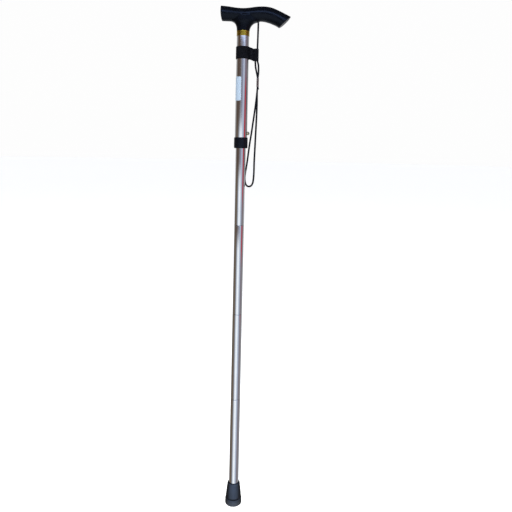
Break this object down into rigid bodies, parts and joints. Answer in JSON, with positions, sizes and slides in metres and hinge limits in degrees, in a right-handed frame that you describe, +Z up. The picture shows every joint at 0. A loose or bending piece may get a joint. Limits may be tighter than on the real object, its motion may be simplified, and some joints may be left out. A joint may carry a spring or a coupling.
{
  "type": "folding walking cane",
  "caption": "Folding height-adjustable walking cane: derby handle, polished telescopic shaft with plug joints, wrist cord and rubber tip.",
  "frame": {"origin": "centre of the rubber tip's sole, on the floor", "axes": "+Z up the shaft, +X towards the long arm of the handle"},
  "size_m": [0.1271, 0.0292, 0.8929],
  "materials": {
    "handle_plastic": "satin",
    "gold_collar": "satin",
    "polished_aluminium": "polished",
    "black_plastic": "satin",
    "natural_nylon": "satin",
    "zinc_steel": "satin",
    "spring_steel": "satin",
    "button_brass": "polished",
    "shock_cord": "matte",
    "strap_cord": "matte",
    "elastic_webbing": "matte",
    "crimp_metal": "satin",
    "label_film": "satin",
    "tip_rubber": "matte"
  },
  "bodies": {
    "handle_section": {"handle_grip": "handle_plastic", "handle_plug": "black_plastic", "handle_screw": "zinc_steel", "collar_ring": "gold_collar", "outer_tube": "polished_aluminium", "collet_bush": "natural_nylon", "blank_label": "label_film", "strap_band": "elastic_webbing", "handle_cord": "strap_cord"},
    "clamp_ring": {"clamp_ring": "natural_nylon"},
    "lock_nut": {"lock_nut": "black_plastic"},
    "inner_section": {"inner_tube": "polished_aluminium", "guide_cap": "black_plastic", "snap_spring": "spring_steel", "cord_anchor_top": "natural_nylon", "shock_cord_1": "shock_cord"},
    "snap_button": {"snap_button": "button_brass"},
    "cord_bend_1": {"cord_bend_1": "shock_cord"},
    "section_2": {"tube_2": "polished_aluminium", "joint_plug_1": "black_plastic", "shock_cord_2": "shock_cord"},
    "cord_bend_2": {"cord_bend_2": "shock_cord"},
    "section_3": {"tube_3": "polished_aluminium", "joint_plug_2": "black_plastic", "shock_cord_3": "shock_cord"},
    "cord_bend_3": {"cord_bend_3": "shock_cord"},
    "section_4": {"tube_4": "polished_aluminium", "joint_plug_3": "black_plastic", "shock_cord_4": "shock_cord", "cord_anchor_bottom": "natural_nylon", "rubber_tip": "tip_rubber", "tip_washer": "zinc_steel"},
    "wrist_loop": {"wrist_cord": "strap_cord", "cord_crimp": "crimp_metal"}
  },
  "joints": [
    {"name": "height_adjust", "type": "slide", "parent": "handle_section", "child": "inner_section", "axis": [0, 0, 1], "range_m": [0, 0.102]},
    {"name": "button_press", "type": "slide", "parent": "inner_section", "child": "snap_button", "axis": [-1, 0, 0], "range_m": [0, 0.0056], "stiffness_N_per_m": 300, "springref_m": -0.003, "deforming": ["snap_spring"]},
    {"name": "nut_travel", "type": "slide", "parent": "handle_section", "child": "clamp_ring", "axis": [0, 0, -1], "range_m": [0, 0.0021]},
    {"name": "nut_turn", "type": "hinge", "parent": "clamp_ring", "child": "lock_nut", "pos_m": [0, 0, 0.6467], "axis": [0, 0, -1], "range_deg": [0, 360]},
    {"name": "pull_1", "type": "slide", "parent": "inner_section", "child": "cord_bend_1", "axis": [0, 0, -1], "range_m": [0, 0.02]},
    {"name": "fold_1", "type": "hinge", "parent": "cord_bend_1", "child": "section_2", "pos_m": [-0.00695, 0.01204, 0.506], "axis": [0.866, 0.5, 0], "range_deg": [0, 179.5], "stiffness_Nm_per_rad": 0.04, "springref_deg": -171.89},
    {"name": "pull_2", "type": "slide", "parent": "section_2", "child": "cord_bend_2", "axis": [0, 0, -1], "range_m": [0, 0.02]},
    {"name": "fold_2", "type": "hinge", "parent": "cord_bend_2", "child": "section_3", "pos_m": [-0.0139, 0, 0.3465], "axis": [0, 1, 0], "range_deg": [0, 179.5], "stiffness_Nm_per_rad": 0.04, "springref_deg": -171.89},
    {"name": "pull_3", "type": "slide", "parent": "section_3", "child": "cord_bend_3", "axis": [0, 0, -1], "range_m": [0, 0.02]},
    {"name": "fold_3", "type": "hinge", "parent": "cord_bend_3", "child": "section_4", "pos_m": [0.00695, 0.01204, 0.1945], "axis": [0.866, -0.5, 0], "range_deg": [0, 179.5], "stiffness_Nm_per_rad": 0.04, "springref_deg": -171.89},
    {"name": "strap_swing", "type": "hinge", "parent": "handle_section", "child": "wrist_loop", "pos_m": [0.0262, 0, 0.7896], "axis": [0, -1, 0], "range_deg": [0, 75]}
  ],
  "couplings": [
    {"joint": "nut_travel", "follows": "nut_turn", "m_per_rad": 0.00031831},
    {"joint": "fold_1", "follows": "pull_1", "rad_per_m": 156.64},
    {"joint": "fold_2", "follows": "pull_2", "rad_per_m": 156.64},
    {"joint": "fold_3", "follows": "pull_3", "rad_per_m": 156.64}
  ]
}
